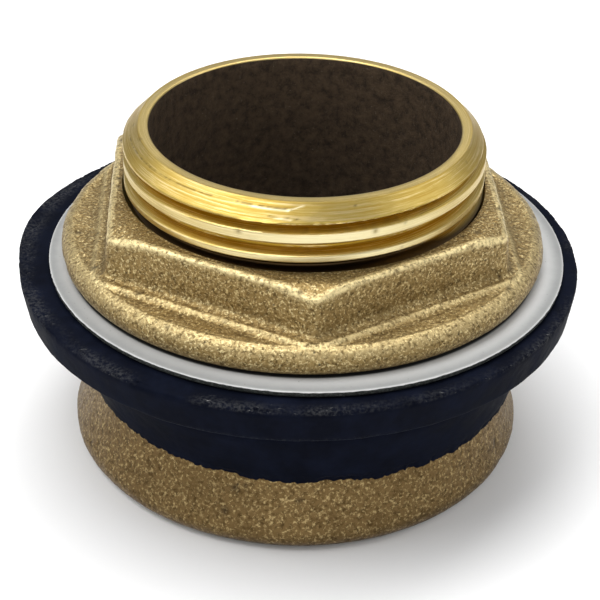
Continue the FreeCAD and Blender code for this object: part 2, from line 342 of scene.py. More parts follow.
class Finish:
    """One procedural material. Its patterns are sized in millimetres and keep to the piece."""

    def __init__(self, name, metallic, roughness, specular=0.5):
        self.material = bpy.data.materials.new(name)
        self.material.use_nodes = True
        self.tree = self.material.node_tree
        self.shader = self.tree.nodes["Principled BSDF"]
        self.shader.inputs["Metallic"].default_value = metallic
        self.shader.inputs["Roughness"].default_value = roughness
        self.shader.inputs["Specular IOR Level"].default_value = specular
        place = self.add("ShaderNodeTexCoord").outputs["Object"]
        scaled = self.add("ShaderNodeVectorMath", operation="SCALE", Vector=place, Scale=1 / MM)
        self.place = scaled.outputs[0]

    def add(self, kind, operation=None, **inputs):
        """A node, with its inputs set from values or joined to other nodes' outputs."""
        node = self.tree.nodes.new(kind)
        if operation:
            node.operation = operation
        for title, value in inputs.items():
            place = int(title[1:]) if title[1:].isdigit() else title.replace("_", " ")
            self.put(node.inputs[place], value)
        return node

    def put(self, socket, value):
        """Joins a socket to an output, or sets it to a value."""
        if isinstance(value, bpy.types.NodeSocket):
            self.tree.links.new(value, socket)
        elif isinstance(value, tuple) and len(value) == 3 and socket.type == "RGBA":
            socket.default_value = (*value, 1)
        else:
            socket.default_value = value

    def math(self, operation, first, second=0.0, third=0.0):
        """The result of a sum on one to three values."""
        return self.add("ShaderNodeMath", operation, _0=first, _1=second, _2=third).outputs[0]

    def speckle(self, size, detail=2.0, roughness=0.5, place=None):
        """Noise from 0 to 1, with lumps about size millimetres across."""
        node = self.add("ShaderNodeTexNoise", Vector=place or self.place, Scale=1 / size, Detail=detail,
                        Roughness=roughness)
        return node.outputs[0]

    def cells(self, size):
        """Distance to the nearest of scattered points about size millimetres apart."""
        return self.add("ShaderNodeTexVoronoi", Vector=self.place, Scale=1 / size).outputs["Distance"]

    def stretch(self, x, y, z):
        """The place, stretched so that noise of size 1 has lumps of these sizes in millimetres."""
        node = self.add("ShaderNodeVectorMath", "MULTIPLY", Vector=self.place, _1=(1 / x, 1 / y, 1 / z))
        return node.outputs[0]

    def ramp(self, value, low, high, to_low=0.0, to_high=1.0):
        """Takes value from the range low to high to the range to_low to to_high, and no further."""
        node = self.add("ShaderNodeMapRange", Value=value, From_Min=low, From_Max=high, To_Min=to_low,
                        To_Max=to_high)
        return node.outputs[0]

    def blend(self, share, first, second):
        """A colour between two colours."""
        node = self.tree.nodes.new("ShaderNodeMix")
        node.data_type = "RGBA"
        for index, value in ((0, share), (6, first), (7, second)):
            self.put(node.inputs[index], value)
        return node.outputs[2]

    def mark(self, title):
        """A mark that the mesh carries at its points."""
        node = self.tree.nodes.new("ShaderNodeAttribute")
        node.attribute_name = title
        return node.outputs["Fac"]

    def bump(self, height, distance, before=None):
        """Relief of that height in millimetres, on top of earlier relief."""
        node = self.add("ShaderNodeBump", Height=height, Distance=distance * MM, Strength=1.0)
        if before is not None:
            self.put(node.inputs["Normal"], before)
        return node.outputs[0]

    def finish(self, colour, roughness=None, normal=None):
        """Joins the colour, roughness and relief to the shader, and hands over the material."""
        for title, value in (("Base Color", colour), ("Roughness", roughness), ("Normal", normal)):
            if value is not None:
                self.put(self.shader.inputs[title], value)
        return self.material


def lighter(colour, times):
    """A colour made lighter that many times, or darker if times is under 1."""
    return tuple(channel * times for channel in colour)


def machined_brass(bright, deep):
    """Turned brass: bright on the crests, and deeper in the grooves, where the deep colour is painted shade;
    with fine turning lines, small marks and a painted highlight on the crests.
    """
    finish = Finish("machined_brass", metallic=1.0, roughness=0.24)
    finish.shader.inputs["Anisotropic"].default_value = 0.3
    tangent = finish.tree.nodes.new("ShaderNodeTangent")
    tangent.direction_type = "RADIAL"
    tangent.axis = "Z"
    finish.put(finish.shader.inputs["Tangent"], tangent.outputs[0])
    parts = finish.add("ShaderNodeSeparateXYZ", Vector=finish.place)
    x, y, z = parts.outputs
    radius = finish.math("SQRT", finish.math("MULTIPLY_ADD", x, x, finish.math("MULTIPLY", y, y)))
    across = finish.math("MULTIPLY_ADD", radius, 1.7, z)
    lines = finish.add("ShaderNodeCombineXYZ", X=finish.math("DIVIDE", x, 9.0),
                       Y=finish.math("DIVIDE", y, 9.0), Z=finish.math("DIVIDE", across, 0.11)).outputs[0]
    turning = finish.speckle(1.0, detail=5.0, roughness=0.72, place=lines)
    broad = finish.speckle(2.6, detail=3.0)
    fine = finish.speckle(0.22, detail=2.0)
    # Painted shade: the grooves under the crests, below the chamfer, take the deep colour.
    under_crests = finish.ramp(radius, 20.75, 20.1)
    under_chamfer = finish.ramp(z, 39.5, 39.2)
    groove = finish.math("MULTIPLY", under_crests, under_chamfer)
    colour = finish.blend(groove, bright, deep)
    colour = finish.blend(finish.ramp(turning, 0.50, 0.62, 0.0, 0.6), colour, deep)
    colour = finish.blend(finish.ramp(turning, 0.48, 0.38, 0.0, 0.45), colour, (0.88, 0.72, 0.42))
    colour = finish.blend(finish.ramp(broad, 0.6, 0.78, 0.0, 0.16), colour, deep)
    colour = finish.blend(finish.ramp(finish.cells(1.3), 0.07, 0.0, 0.0, 0.8), colour, (0.16, 0.09, 0.03))
    # The edge mark brightens the pale scratches, and paints a highlight on the crests and on the rim.
    colour = finish.blend(finish.mark("edge"), colour, (1.0, 0.93, 0.62))
    # The soil_and_shade mark darkens the nicks, the scratches and the dark under the torn crest, and paints
    # the shade over the nut.
    colour = finish.blend(finish.mark("soil_and_shade"), colour, (0.045, 0.028, 0.015))
    dulled = finish.ramp(broad, 0.5, 0.8, 0, 0.06)
    roughness = finish.math("ADD", finish.ramp(turning, 0.3, 0.7, 0.30, 0.44), dulled)
    normal = finish.bump(turning, 0.010)
    normal = finish.bump(fine, 0.004, normal)
    return finish.finish(colour, roughness, normal)


def cast_brass(name, settings, size, relief, edge_light):
    """Sand-cast brass: a skin of bright and dull grains with dark pits, and brighter edges, partly worn metal
    and partly painted highlight. size is how many times coarser than the nut's the grains are, and edge_light
    says how bright the edges are."""
    dark, mid, light = tuple(settings.dark), tuple(settings.mid), tuple(settings.light)
    finish = Finish(name, metallic=0.92, roughness=0.42)
    grains = finish.speckle(0.42 * size, detail=3.5, roughness=0.64)
    flecks = finish.speckle(0.30 * size, detail=5.0, roughness=0.72)
    stains = finish.speckle(5.0, detail=5.0, roughness=0.65)
    pits = finish.cells(1.9)
    colour = finish.blend(finish.ramp(grains, 0.34, 0.52), dark, mid)
    colour = finish.blend(finish.ramp(flecks, 0.52, 0.64, 0.0, 0.8), colour, light)
    colour = finish.blend(finish.ramp(stains, 0.5, 0.72, 0.0, 0.42), colour, dark)
    broken = finish.ramp(grains, 0.36, 0.56, 0.2 * edge_light, edge_light)
    # The edge mark brightens worn edges, and paints highlights on the nut's edges.
    colour = finish.blend(finish.math("MULTIPLY", finish.mark("edge"), broken), colour, light)
    colour = finish.blend(finish.ramp(pits, 0.1, 0.03, 0.0, 0.85), colour, (0.035, 0.024, 0.014))
    # The soil_and_shade mark darkens the pits, and paints shade at the foot's base, round the hexagon's foot
    # and along the flange's foot.
    colour = finish.blend(finish.mark("soil_and_shade"), colour, (0.03, 0.02, 0.012))
    roughness = finish.ramp(grains, 0.3, 0.7, 0.56, 0.34)
    normal = finish.bump(grains, relief)
    normal = finish.bump(flecks, relief * 0.45, normal)
    return finish.finish(colour, roughness, normal)


def bore_skin(colour):
    """The dark, rough wall of the water way, mottled and flecked."""
    finish = Finish("bore_skin", metallic=0.2, roughness=0.72, specular=0.25)
    lumps = finish.speckle(1.1, detail=6.0, roughness=0.75)
    threads = finish.speckle(1.0, detail=4.0, roughness=0.7, place=finish.stretch(0.25, 0.25, 0.9))
    specks = finish.speckle(0.3, detail=2.0, roughness=0.6)
    tint = finish.blend(finish.ramp(lumps, 0.42, 0.62), colour, lighter(colour, 1.9))
    tint = finish.blend(finish.ramp(lumps, 0.45, 0.33, 0.0, 0.6), tint, (0.012, 0.008, 0.005))
    tint = finish.blend(finish.ramp(threads, 0.62, 0.74, 0.0, 0.5), tint, (0.16, 0.125, 0.09))
    tint = finish.blend(finish.ramp(specks, 0.66, 0.78, 0.0, 0.6), tint, (0.2, 0.16, 0.12))
    return finish.finish(tint, None, finish.bump(lumps, 0.3))


def washer_face(colour):
    """Smooth pale plastic with a faint mottle and a few dark specks, a painted highlight along its outer
    edge, painted light towards the nut and a painted shadow line at the nut's foot.
    """
    finish = Finish("washer_face", metallic=0.0, roughness=0.42)
    mottle = finish.speckle(1.6, detail=4.0, roughness=0.6)
    specks = finish.cells(1.15)
    dust = finish.speckle(0.16, detail=1.0)
    tint = finish.blend(finish.ramp(mottle, 0.35, 0.7), colour, lighter(colour, 0.9))
    # The edge mark paints a highlight along the outer top edge, and light on the face towards the nut.
    tint = finish.blend(finish.math("MULTIPLY", finish.mark("edge"), 0.8), tint, (0.85, 0.85, 0.84))
    tint = finish.blend(finish.ramp(specks, 0.075, 0.03, 0.0, 0.7), tint, (0.12, 0.12, 0.11))
    tint = finish.blend(finish.ramp(dust, 0.7, 0.8, 0.0, 0.35), tint, (0.3, 0.3, 0.29))
    # The soil_and_shade mark paints a shadow line at the nut's foot.
    tint = finish.blend(finish.mark("soil_and_shade"), tint, (0.008, 0.008, 0.008))
    normal = finish.bump(mottle, 0.012)
    return finish.finish(tint, finish.ramp(mottle, 0.3, 0.7, 0.36, 0.52), normal)


def washer_core(colour):
    """The washer's cut edge: dark, rough and flecked."""
    finish = Finish("washer_core", metallic=0.0, roughness=0.6, specular=0.3)
    lumps = finish.speckle(0.3, detail=4.0, roughness=0.65, place=finish.stretch(1.0, 1.0, 0.35))
    tint = finish.blend(finish.ramp(lumps, 0.48, 0.68), colour, (0.11, 0.12, 0.11))
    return finish.finish(tint, None, finish.bump(lumps, 0.05))


def seal_rubber(colour):
    """Matt moulded rubber, scuffed grey where its edges have worn."""
    finish = Finish("seal_rubber", metallic=0.0, roughness=0.55, specular=0.018)
    broad = finish.speckle(4.0, detail=4.0, roughness=0.6)
    fine = finish.speckle(0.35, detail=4.0, roughness=0.65)
    scratches = finish.speckle(1.0, detail=4.0, roughness=0.7, place=finish.stretch(0.9, 0.22, 0.22))
    tint = finish.blend(finish.ramp(broad, 0.4, 0.7, 0.0, 0.6), colour, lighter(colour, 2.6))
    scuffs_and_painted_light = finish.math("MULTIPLY", finish.mark("edge"), finish.ramp(fine, 0.42, 0.62))
    tint = finish.blend(finish.math("MULTIPLY", scuffs_and_painted_light, 0.6), tint, (0.05, 0.051, 0.054))
    lines = finish.math("MULTIPLY", finish.mark("edge"), finish.ramp(scratches, 0.64, 0.72))
    tint = finish.blend(finish.math("MULTIPLY", lines, 0.8), tint, (0.3, 0.3, 0.29))
    roughness = finish.ramp(broad, 0.35, 0.7, 0.5, 0.68)
    normal = finish.bump(fine, 0.02)
    normal = finish.bump(broad, 0.05, normal)
    return finish.finish(tint, roughness, normal)


def floor_paint(colour):
    """Plain pale floor."""
    finish = Finish("floor_paint", metallic=0.0, roughness=0.9, specular=0.1)
    mottle = finish.speckle(60.0, detail=2.0)
    return finish.finish(finish.blend(mottle, colour, lighter(colour, 0.99)))


# ---------------------------------------------------------------- sizes and colours a user may change

def length(title, text, value):
    """A size in metres, from a value in millimetres."""
    return bpy.props.FloatProperty(name=title, description=text, default=value * MM, min=0, unit="LENGTH",
                                   precision=5)


def angle(title, text, value):
    """An angle, from a value in degrees."""
    return bpy.props.FloatProperty(name=title, description=text, default=math.radians(value), subtype="ANGLE")


def power(title, text, value):
    """The power of a light, in watts."""
    return bpy.props.FloatProperty(name=title, description=text, default=value, subtype="POWER")


def colour(title, text, value):
    """A colour, as its red, green and blue."""
    return bpy.props.FloatVectorProperty(name=title, description=text, default=value, size=3, min=0, max=1,
                                         subtype="COLOR")


class BarrelSettings(bpy.types.PropertyGroup):
    """Sizes and colours of the barrel, its thread and its bore"""
    pitch: length("Thread pitch", "Rise of the thread in one turn", 2.309)
    major_radius: length("Thread radius", "Radius of the thread's crests", 20.955)
    crest_height: length("Crest height", "Height of one crest on the +X side", 37.83)
    chamfer: length("Chamfer", "45-degree chamfer between the rim and the thread", 1.8)
    relief_radius: length("Relief radius", "Radius of the groove below the thread", 19.276)
    relief_top: length("Relief top", "Height where the thread's run-in starts", 21.2)
    bore_radius: length("Bore radius", "Radius of the water way", 17.976)
    bright: colour("Crest colour", "Colour of the turned brass on its crests", (0.49, 0.355, 0.095))
    # The groove colour is the painted shade in the grooves; the dark turning lines take it too.
    deep: colour("Groove colour", "Colour of the turned brass in its grooves", (0.38, 0.23, 0.027))
    bore: colour("Bore colour", "Colour of the wall of the water way", (0.043, 0.028, 0.016))


class FootSettings(bpy.types.PropertyGroup):
    """Sizes and colours of the cast foot"""
    edge_rounding: length("Edge rounding", "Rounding of the foot's outer edge", 2.2)
    mouth_width: length("Mouth wall", "From the foot's largest radius in to the bell's mouth", 5.1)
    mouth_rounding: length("Mouth rounding", "Rounding of the bell's mouth", 0.8)
    bell_height: length("Bell height", "Height where the bore starts to widen", 14.0)
    bell_blend: length("Bell blend", "Rounding where the bore starts to widen", 8.0)
    cone_top: length("Cone height", "Height of the cone's top edge", 17.0)
    cone_step: length("Cone step", "Cone's top radius beyond the thread's crests", 1.4)
    relief_bottom: length("Relief bottom", "Height of the lower end of the groove below the thread", 18.6)
    dark: colour("Dark grains", "Colour of the dull grains", (0.085, 0.051, 0.017))
    mid: colour("Skin", "Colour of most of the skin", (0.165, 0.105, 0.040))
    light: colour("Bright grains", "Colour of the bright grains", (0.50, 0.38, 0.18))


class NutSettings(bpy.types.PropertyGroup):
    """Sizes and colours of the nut"""
    flat_radius: length("Hexagon", "From the axis to a flat, at the top face", 22.4)
    draft: angle("Draft", "Casting draft of the hexagon's sides", 3)
    corner_angle: angle("Turn", "Direction of one corner of the hexagon", -86.8)
    corner_rounding: length("Corner rounding", "Rounding of the hexagon's upright corners", 1.3)
    corner_wear: length("Corner wear", "By which the hexagon's top is worn down at its corners", 0.65)
    top_rounding: length("Top rounding", "Rounding of the hexagon's top edge", 0.55)
    fillet: length("Foot fillet", "Hollow rounding at the hexagon's foot", 1.0)
    flange_thick: length("Flange", "Thickness of the round flange", 3.5)
    flange_top_rounding: length("Flange top rounding", "Rounding of the flange's top edge", 1.7)
    flange_bottom_rounding: length("Flange bottom rounding", "Rounding of the flange's bottom edge", 1.6)
    mouth_radius: length("Mouth", "Radius of the countersinks at both ends of the thread", 21.2)
    ledge_reach: length("Ledge", "From a flat's foot out to the top of the ledge round it", 1.1)
    ledge_rise: length("Ledge rise", "Height of that ledge over the flange", 0.42)
    thread_gap: length("Thread gap", "Clearance between the two threads", 0.16)
    dark: colour("Dark grains", "Colour of the dull grains", (0.115, 0.072, 0.024))
    mid: colour("Skin", "Colour of most of the skin", (0.29, 0.20, 0.077))
    light: colour("Bright grains", "Colour of the bright grains", (0.90, 0.75, 0.40))


class WasherSettings(bpy.types.PropertyGroup):
    """Sizes and colours of the plastic washer"""
    edge_rounding: length("Edge rounding", "Rounding of the washer's top edges", 0.12)
    inner_radius: length("Inner radius", "Radius of the hole round the barrel", 21.755)
    undercut: length("Undercut", "By which the cut edge slopes in at the bottom", 0.28)
    face: colour("Face", "Colour of the washer's faces", (0.262, 0.268, 0.266))
    core: colour("Cut edge", "Colour of the washer's cut edge", (0.016, 0.018, 0.017))


class SealSettings(bpy.types.PropertyGroup):
    """Sizes and colour of the rubber seal"""
    inner_radius: length("Inner radius", "Radius of the hole round the barrel", 21.355)
    flange_bottom: length("Flange bottom", "Height of the flange's underside", 19.7)
    flange_taper: length("Flange taper", "By which the flange's underside is smaller in radius", 0.7)
    collar_radius: length("Collar radius", "Radius of the collar below the flange", 28.0)
    collar_straight: length("Collar straight", "Length of the collar that keeps its full radius", 4.0)
    lip_thick: length("Lip", "Thickness of the rubber at the collar's lower edge", 0.6)
    cone_gap: length("Cone gap", "Clearance between the rubber and the brass cone", 0.3)
    tooth: length("Tooth", "Width of the teeth along the torn edges", 0.8)
    rubber: colour("Rubber", "Colour of the rubber", (0.0027, 0.0037, 0.0080))


class StageSettings(bpy.types.PropertyGroup):
    """The camera, the lights and the floor"""
    camera_distance: length("Camera distance", "From the camera to the barrel's rim", 188.58)
    camera_height: angle("Camera height", "Rise of the camera seen from the rim", 26.0226)
    camera_pitch: angle("Camera pitch", "How far the camera looks down", 32.2657)
    camera_roll: angle("Camera roll", "Turn about the line of sight", 1.2997)
    camera_yaw: angle("Camera yaw", "Turn about the upright", 0.0427)
    lens: bpy.props.FloatProperty(name="Lens", description="Focal length", default=98.05,
                                  subtype="DISTANCE_CAMERA")
    floor: colour("Floor", "Colour of the floor", (0.92, 0.92, 0.92))
    top_power: power("Overhead light", "Power of the overhead light", 2.2)
    side_power: power("Side lights", "Power of each side light", 0.6)
    front_power: power("Front light", "Power of the front light", 0.5)
    sky: bpy.props.FloatProperty(name="Surroundings", description="Brightness of the surroundings",
                                 default=0.46)


# ---------------------------------------------------------------- pieces

def cone_slope(foot, top_radius, foot_radius):
    """Tangent of the angle between the axis and the cone."""
    across = foot_radius - foot.edge_rounding - top_radius
    down = foot.cone_top - foot.edge_rounding
    return math.tan(math.atan2(across, down) + math.asin(foot.edge_rounding / math.hypot(across, down)))


def scratch(angles, height, start, end, width):
    """A straight mark on the barrel between two places, each an angle in degrees and a height in
    millimetres."""
    reach = 20 * MM
    away = np.stack([turn_from(angles, math.radians(start[0])) * reach, height - start[1] * MM], axis=-1)
    run = np.array((math.radians(end[0] - start[0]) * reach, (end[1] - start[1]) * MM))
    share = np.clip(away @ run / (run @ run), 0, 1)
    off = np.linalg.norm(away - share[:, None] * run, axis=-1)
    return bell(off, width * MM)


def torn_crest(barrel, points, angles, height):
    """The torn lower edge of a crest on the worn side: how far it stands out, and how dark it is beneath."""
    on_worn_side = smooth_step(math.radians(52), math.radians(30), np.abs(angles - WORN_AND_HIGHLIGHT_SIDE))
    lip = barrel.crest_height + barrel.pitch * angles / (2 * math.pi) - 0.38 * MM
    ragged = np.clip(grain(points * (1, 1, 0.3), 0.55 * MM, 9) * 1.6 + 0.25, 0, 1)
    burr = on_worn_side * ragged * bell(height - lip, 0.13 * MM)
    under = on_worn_side * ragged * bell(height - lip + 0.26 * MM, 0.13 * MM)
    return burr, under


def shade_over_nut(angles, height):
    """Painted shade: a dark line round the barrel where it stands in the nut, which drops towards the +X
    side.
    """
    start, full, end = math.radians(300), math.radians(325), math.radians(60)
    dropped = smooth_step(start, full, angles) + smooth_step(end, 0, angles)
    top = NUT_HIGH.z + (0.6 + 0.45 * bell(angles - SHADE_LINE_SIDE, SHADE_LINE_SPREAD) - 0.5 * dropped) * MM
    line = smooth_step(top + 0.15 * MM, top - 0.3 * MM, height)
    return line * smooth_step(NUT_HIGH.z - 2.6 * MM, NUT_HIGH.z - 1.0 * MM, height)


def painted_crest_highlight(barrel, radius, angles, height):
    """Painted highlight on the crests: strongest on the -Y side, towards the camera, and none near the
    chamfer.
    """
    on_crest = smooth_step(barrel.major_radius - 0.09 * MM, barrel.major_radius - 0.03 * MM, radius)
    facing = 0.14 + 0.46 * bell(angles - WORN_AND_HIGHLIGHT_SIDE, CREST_HIGHLIGHT_SPREAD)
    return facing * on_crest * smooth_step(NUT_HIGH.z + 5.0 * MM, NUT_HIGH.z + 4.4 * MM, height)


def rim_rings(barrel, rim_radius, high):
    """Radii and heights of rings across the rim, from its chamfer to just inside the bore."""
    bore_radius = barrel.bore_radius
    rings = [(bore_radius + (rim_radius - bore_radius) * share, high) for share in (0.7, 0.4)]
    rings += [(bore_radius + 0.16 * MM, high), (bore_radius + 0.05 * MM, high - 0.05 * MM),
              (bore_radius, high - 0.16 * MM)]
    return rings


def bore_rings(barrel, top, low):
    """Radii and heights of rings down the bore, below the one at its top."""
    count = 16
    return [(barrel.bore_radius, top + (low - top) * row / count) for row in range(1, count + 1)]


def build_barrel(barrel, turned, bore):
    """The threaded barrel with its chamfered rim, from the groove below the thread upwards."""
    columns = 400
    low, high = barrel.relief_top, BODY_HIGH.z
    rim_radius = barrel.major_radius - barrel.chamfer
    angles, height, faces, lowest, highest = thread_grid(barrel, columns, 26, low, high)
    radius = thread_radius(barrel, height, angles, NUT_HIGH.z + RUN_OUT_START)
    radius = np.minimum(radius, rim_radius + (high - height))
    radius = np.minimum(radius, barrel.relief_radius + (height - low))
    points = about_axis(radius, angles, height)
    wear = grain(points, 0.9 * MM, 3) * 0.012 * MM + grain(points, 0.35 * MM, 4) * 0.006 * MM
    burr, under = torn_crest(barrel, points, angles, height)
    on_crest = (radius > barrel.major_radius - 0.1 * MM) & (height > NUT_HIGH.z)
    on_rim = height > high - 1.5 * MM
    nicks = dimples(points, 11, 26, 0.14 * MM, 0.42 * MM, on_crest | on_rim)
    radius = radius + wear + burr * 0.09 * MM - nicks * 0.07 * MM
    radius[lowest] = barrel.relief_radius
    radius[highest] = rim_radius
    points = about_axis(radius, angles, height)

    broken = np.clip(grain(points, 0.5 * MM, 12) * 2 + 0.6, 0, 1)
    dark_marks = sum(scratch(angles, height, *mark) for mark in DARK_SCRATCHES) * broken
    pale_marks = sum(scratch(angles, height, *mark) for mark in PALE_SCRATCHES)
    # Dark under the torn crest and in the nicks and dark scratches, and painted shade over the nut.
    soil_and_shade = under * 1.1 + nicks * 0.5 + shade_over_nut(angles, height) * 0.97 + dark_marks * 0.7
    # Painted highlight on the crests, and pale scratches.
    edge = painted_crest_highlight(barrel, radius, angles, height) + pale_marks * 0.8

    rim = rim_rings(barrel, rim_radius, high)
    rings = rim + bore_rings(barrel, rim[-1][1], low)
    face_material = [0] * len(faces)
    groups = [points]
    count = len(points)
    upper = highest
    for index, (ring_radius, ring_height) in enumerate(rings):
        groups.append(about_axis(ring_radius, around(columns), np.full(columns, ring_height)))
        lower = count + np.arange(columns)
        faces += band(upper, lower)
        face_material += [int(index >= len(rim))] * columns
        upper = lower
        count += columns
    faces += band(upper, lowest)
    face_material += [0] * columns
    clean = np.zeros(columns * len(rings))
    # The rim's rings carry a slight even painted highlight of 0.12; the bore's rings carry it too, though the
    # bore's skin doesn't read it.
    piece = new_piece("threaded_barrel", np.concatenate(groups), faces, [turned, bore], math.radians(42),
                      soil_and_shade=np.concatenate([soil_and_shade, clean]), edge=np.concatenate([edge, clean + 0.12]),
                      face_material=face_material)
    settle(piece, "body", "barrel_body")


def build_foot(barrel, foot, cast, bore):
    """The cast cone foot with its bell mouth, up to the groove below the thread."""
    top_radius = barrel.major_radius + foot.cone_step
    foot_radius = BODY_HIGH.x
    slope = cone_slope(foot, top_radius, foot_radius)
    rows = outline([
        (foot_radius - foot.mouth_width, BODY_LOW.z, foot.mouth_rounding, 0.5 * MM),
        (top_radius + foot.cone_top * slope, BODY_LOW.z, foot.edge_rounding, 0.24 * MM),
        (top_radius, foot.cone_top, 0.5 * MM, 0.8 * MM),
        (barrel.relief_radius, foot.relief_bottom, 0, 0.9 * MM),
        (barrel.relief_radius, barrel.relief_top, 0, 0.7 * MM),
        (barrel.bore_radius, barrel.relief_top, 0, 0.9 * MM),
        (barrel.bore_radius, foot.bell_height, foot.bell_blend, 0.6 * MM),
    ])
    angles, radius, height = wrap(rows, 720)
    points = places(angles, radius, height)
    wall = radius > barrel.bore_radius + 1.4 * MM
    shown = smooth_step(11 * MM, 9 * MM, height) * 0.85 + 0.15
    skin = smooth_step(0.2 * MM, 1.2 * MM, height) * (height < foot.cone_top - 1 * MM) * shown
    relief = (grain(points, 6.5 * MM, 1) * 0.10 + grain(points, 1.7 * MM, 2) * 0.045
              + grain(points, 0.5 * MM, 3) * 0.028) * MM
    below_rubber = wall & (height > 0.8 * MM) & (height < 9 * MM)
    pits = dimples(points, 5, 34, 0.25 * MM, 0.6 * MM, below_rubber)
    lump_at = about_axis(foot_radius, LUMP_DIRECTION, LUMP_HEIGHT)
    lump = bell(np.linalg.norm((points - lump_at) * (1, 1, 0.8), axis=-1), 0.9 * MM)
    radius, height = swell(radius, height, (relief - pits * 0.16 * MM) * skin + lump * 0.45 * MM)
    # Painted shade darkens the foot's wall towards its bottom edge.
    base_shade = smooth_step(1.5 * MM, 0.2 * MM, height) * wall * 0.55
    in_bore = rows[:, 0] < barrel.bore_radius + 4.0 * MM
    in_bore[(rows[:, 1] > foot.cone_top - 0.1 * MM) & (rows[:, 0] > barrel.bore_radius + 0.5 * MM)] = False
    shift = CAST_SHIFT * smooth_step(SEAL_LOW.z - 0.5 * MM, 0.3 * SEAL_LOW.z, height) * wall
    points = places(angles, radius, height) + shift[..., None] * np.array((1, 0, 0))
    piece = new_piece("cone_foot", points, grid_faces(*radius.shape), [cast, bore], math.radians(50),
                      soil_and_shade=pits * 0.8 + base_shade, face_material=np.tile(in_bore.astype(int), len(angles)))
    settle(piece, "body", "barrel_body")


def flat_at(nut, height):
    """From the axis to a flat of the hexagon at a height, which its draft widens downwards."""
    return nut.flat_radius + (NUT_HIGH.z - height) * math.tan(nut.draft)


def hexagon_distance(nut, angles, radius):
    """How far a point lies outside the foot of the hexagon, whose corners are rounded."""
    rounding = nut.corner_rounding
    core = flat_at(nut, NUT_LOW.z + nut.flange_thick) - rounding
    turned = np.mod(angles - nut.corner_angle, math.pi / 3) - math.pi / 6
    along = radius * np.cos(turned) - core
    beside = np.abs(radius * np.sin(turned)) - core * math.tan(math.pi / 6)
    return np.where(beside > 0, np.hypot(along, beside), along) - rounding


def hexagon_radius(nut, angles, height):
    """Radius of the hexagon's wall in each direction, at a height."""
    rounding = nut.corner_rounding
    flat_radius = flat_at(nut, height)
    turned = np.mod(angles - nut.corner_angle, math.pi / 3) - math.pi / 6
    flat = flat_radius / np.cos(turned)
    centre = (flat_radius - rounding) / math.cos(math.pi / 6)
    off = math.pi / 6 - np.abs(turned)
    round_part = centre * np.cos(off) + np.sqrt(np.maximum(rounding ** 2 - (centre * np.sin(off)) ** 2, 0))
    on_corner = flat * np.sin(np.abs(turned)) > (flat_radius - rounding) * math.tan(math.pi / 6)
    return np.where(on_corner, round_part, flat)


def nut_rows(nut, angles):
    """Radii and heights of the rows of points on the casting: out along its underside, round the flange, in
    to the hexagon, up its wall, in across its top and down its hole."""
    low, high = NUT_LOW.z, NUT_HIGH.z
    flange_top = low + nut.flange_thick
    bottom, top = nut.flange_bottom_rounding, nut.flange_top_rounding
    low_rim, rim = FLANGE_RADIUS - bottom, FLANGE_RADIUS - top
    rows = []
    for share in (0, 0.35, 0.7):
        rows.append((nut.mouth_radius + (low_rim - nut.mouth_radius) * share, low))
    for turn in np.radians(np.arange(-90, 1, 12.8)):
        rows.append((low_rim + bottom * math.cos(turn), low + bottom + bottom * math.sin(turn)))
    for turn in np.radians(np.arange(0, 90, 8.2)):
        rows.append((rim + top * math.cos(turn), flange_top - top + top * math.sin(turn)))
    foot_radius = hexagon_radius(nut, angles, flange_top) + nut.fillet
    sink = 0.22 * MM
    foot_rows = 20
    for row in range(foot_rows):
        row_radius = rim + (foot_radius - rim) * row / foot_rows
        apart = hexagon_distance(nut, angles, row_radius)
        ledge = smooth_step(nut.ledge_reach + 0.9 * MM, nut.ledge_reach, apart) * nut.ledge_rise
        rows.append((row_radius, flange_top - sink + ledge))
    step = nut.ledge_rise - sink
    for turn in np.radians(np.arange(0, 80, 14)):
        rise = nut.fillet * (1 - math.cos(turn))
        rows.append((hexagon_radius(nut, angles, flange_top + rise) + nut.fillet * (1 - math.sin(turn)),
                     flange_top + rise + step * (1 - turn / math.radians(90))))
    wall_low, wall_high = flange_top + nut.fillet, high - nut.top_rounding
    wall_rows = 14
    for row in range(wall_rows):
        row_height = wall_low + (wall_high - wall_low) * row / wall_rows
        rows.append((hexagon_radius(nut, angles, row_height), row_height))
    top_radius = hexagon_radius(nut, angles, high)
    for turn in np.radians(np.arange(0, 91, 15)):
        rows.append((top_radius - nut.top_rounding * (1 - math.cos(turn)),
                     wall_high + nut.top_rounding * math.sin(turn)))
    face_radius = top_radius - nut.top_rounding
    face_rows = 11
    for row in range(1, face_rows + 1):
        rows.append((face_radius + (nut.mouth_radius - face_radius) * row / face_rows, high))
    rows.append((nut.mouth_radius, (low + high) / 2))
    radius = np.stack([row_radius + 0 * angles for row_radius, _ in rows], axis=1)
    height = np.stack([row_height + 0 * angles for _, row_height in rows], axis=1)
    return radius, height


